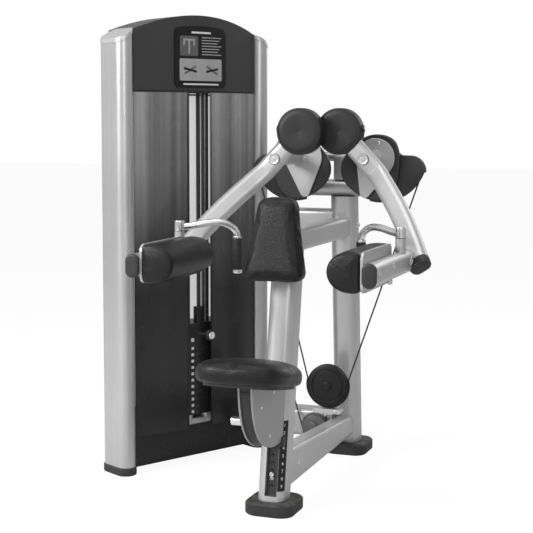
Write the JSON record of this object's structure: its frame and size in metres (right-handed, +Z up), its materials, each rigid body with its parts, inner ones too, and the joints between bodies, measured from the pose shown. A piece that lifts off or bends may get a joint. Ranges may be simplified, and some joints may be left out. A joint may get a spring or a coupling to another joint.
{
  "type": "lateral raise machine",
  "caption": "Seated lateral raise exercise machine with a bow-topped weight tower, swinging padded arms, chest pad, height-adjustable seat and a cable-driven weight stack.",
  "frame": {"origin": "on the floor, under the middle of the machine's bounding box", "axes": "+Z up, +Y the way the seated user faces, +X to the user's right"},
  "size_m": [1.281, 1.344, 1.704],
  "materials": {
    "silver_paint": "satin silver powder coat",
    "chrome": "polished",
    "charcoal_plastic": "fine moulded texture",
    "smoky_panel": "smoky glossy sheet",
    "black_gloss": "smooth black",
    "black_rubber": "matte rubber",
    "black_vinyl": "grained upholstery vinyl",
    "black_iron": "black painted iron",
    "black_cable": "jacketed steel cable",
    "disc_cover": "black coated disc"
  },
  "bodies": {
    "frame": {"front_foot": "black_rubber", "rear_foot": "black_rubber", "front_post": "silver_paint", "rear_post": "silver_paint", "low_beam": "silver_paint", "top_beam": "silver_paint", "low_cross_beam": "silver_paint", "top_cross_beam": "silver_paint", "pivot_crossmember": "silver_paint", "post_top_block": "black_iron", "chest_pad": "black_vinyl", "arm_cable": "black_cable", "lift_cable": "black_cable", "lift_belt": "black_cable", "column_left": "silver_paint", "column_right": "silver_paint", "column_foot_left": "black_rubber", "column_foot_right": "black_rubber", "shroud_left": "smoky_panel", "shroud_right": "smoky_panel", "kick_panel": "black_gloss", "head_housing": "charcoal_plastic", "placard": "black_gloss", "rear_shroud": "black_gloss", "base_beam": "silver_paint", "top_rail": "silver_paint", "guide_rod_left": "chrome", "guide_rod_right": "chrome", "weight_plates": "black_iron", "belt_stand": "silver_paint", "transfer_stand": "silver_paint"},
    "arm_left": {"arm_left": "silver_paint", "counterweight_left": "disc_cover", "cam_plate_left": "silver_paint", "cable_cam_left": "black_gloss", "pad_beam_left": "silver_paint", "arm_pad_left": "black_vinyl"},
    "arm_right": {"arm_right": "silver_paint", "counterweight_right": "disc_cover", "cam_plate_right": "silver_paint", "cable_cam_right": "black_gloss", "pad_beam_right": "silver_paint", "arm_pad_right": "black_vinyl"},
    "handle_left": {"handle_left": "chrome", "grip_left": "black_rubber"},
    "handle_right": {"handle_right": "chrome", "grip_right": "black_rubber"},
    "pulley_bracket": {"pulley_bracket": "silver_paint"},
    "hanging_pulley": {"hanging_pulley": "black_gloss"},
    "low_pulley": {"low_pulley": "charcoal_plastic"},
    "transfer_pulley": {"transfer_pulley": "charcoal_plastic"},
    "belt_pulley": {"belt_pulley": "charcoal_plastic"},
    "top_plate": {"top_plate": "black_iron"},
    "selector_pin": {"selector_pin": "chrome"},
    "seat": {"seat_cushion": "black_vinyl", "seat_cheek_left": "silver_paint", "seat_cheek_right": "silver_paint", "seat_board": "black_gloss", "seat_carriage": "black_gloss"},
    "seat_lever": {"seat_lever": "chrome"}
  },
  "joints": [
    {"name": "arm_left_raise", "type": "hinge", "parent": "frame", "child": "arm_left", "pos_m": [0.00128, 0.1835, 1.172], "axis": [0, 1, 0], "range_deg": [0, 50]},
    {"name": "arm_right_raise", "type": "hinge", "parent": "frame", "child": "arm_right", "pos_m": [0.31928, 0.2485, 1.172], "axis": [0, -1, 0], "range_deg": [0, 50]},
    {"name": "handle_left_turn", "type": "hinge", "parent": "arm_left", "child": "handle_left", "pos_m": [-0.23872, -0.152, 0.945], "axis": [0, 0, -1], "range_deg": [-20, 35]},
    {"name": "handle_right_turn", "type": "hinge", "parent": "arm_right", "child": "handle_right", "pos_m": [0.55928, -0.152, 0.945], "axis": [0, 0, 1], "range_deg": [-20, 35]},
    {"name": "stack_lift", "type": "slide", "parent": "frame", "child": "top_plate", "axis": [0, 0, 1], "range_m": [0, 0.157], "deforming": ["lift_belt"]},
    {"name": "pulley_rise", "type": "slide", "parent": "frame", "child": "pulley_bracket", "axis": [0, 0, 1], "range_m": [0, 0.157], "deforming": ["arm_cable"]},
    {"name": "hanging_pulley_turn", "type": "hinge", "parent": "pulley_bracket", "child": "hanging_pulley", "pos_m": [0.13428, 0.396, 0.297], "axis": [0, 1, 0], "continuous": true},
    {"name": "low_pulley_turn", "type": "hinge", "parent": "frame", "child": "low_pulley", "pos_m": [0.06528, 0.435, 0.128], "axis": [0, -1, 0], "range_deg": [0, 177]},
    {"name": "transfer_pulley_turn", "type": "hinge", "parent": "frame", "child": "transfer_pulley", "pos_m": [-0.38001, 0.49869, 0.47], "axis": [-0.8788, 0.4771, 0], "range_deg": [0, 200]},
    {"name": "belt_pulley_turn", "type": "hinge", "parent": "frame", "child": "belt_pulley", "pos_m": [-0.33023, 0.30326, 1.54], "axis": [-0.8788, 0.4771, 0], "range_deg": [0, 229]},
    {"name": "selector_pin_pull", "type": "slide", "parent": "top_plate", "child": "selector_pin", "axis": [0.8788, -0.4771, 0], "range_m": [0, 0.065]},
    {"name": "seat_height", "type": "slide", "parent": "frame", "child": "seat", "axis": [0, 0.1676, 0.9859], "range_m": [-0.14, 0.06]},
    {"name": "seat_lever_lift", "type": "hinge", "parent": "seat", "child": "seat_lever", "pos_m": [0.14928, -0.342, 0.337], "axis": [-1, 0, 0], "range_deg": [0, 20], "stiffness_Nm_per_rad": 2, "springref_deg": -11.46}
  ],
  "couplings": [
    {"joint": "pulley_rise", "follows": "stack_lift", "ratio": 1},
    {"joint": "low_pulley_turn", "follows": "stack_lift", "rad_per_m": 19.608},
    {"joint": "transfer_pulley_turn", "follows": "stack_lift", "rad_per_m": 22.075},
    {"joint": "belt_pulley_turn", "follows": "stack_lift", "rad_per_m": 25.317}
  ]
}
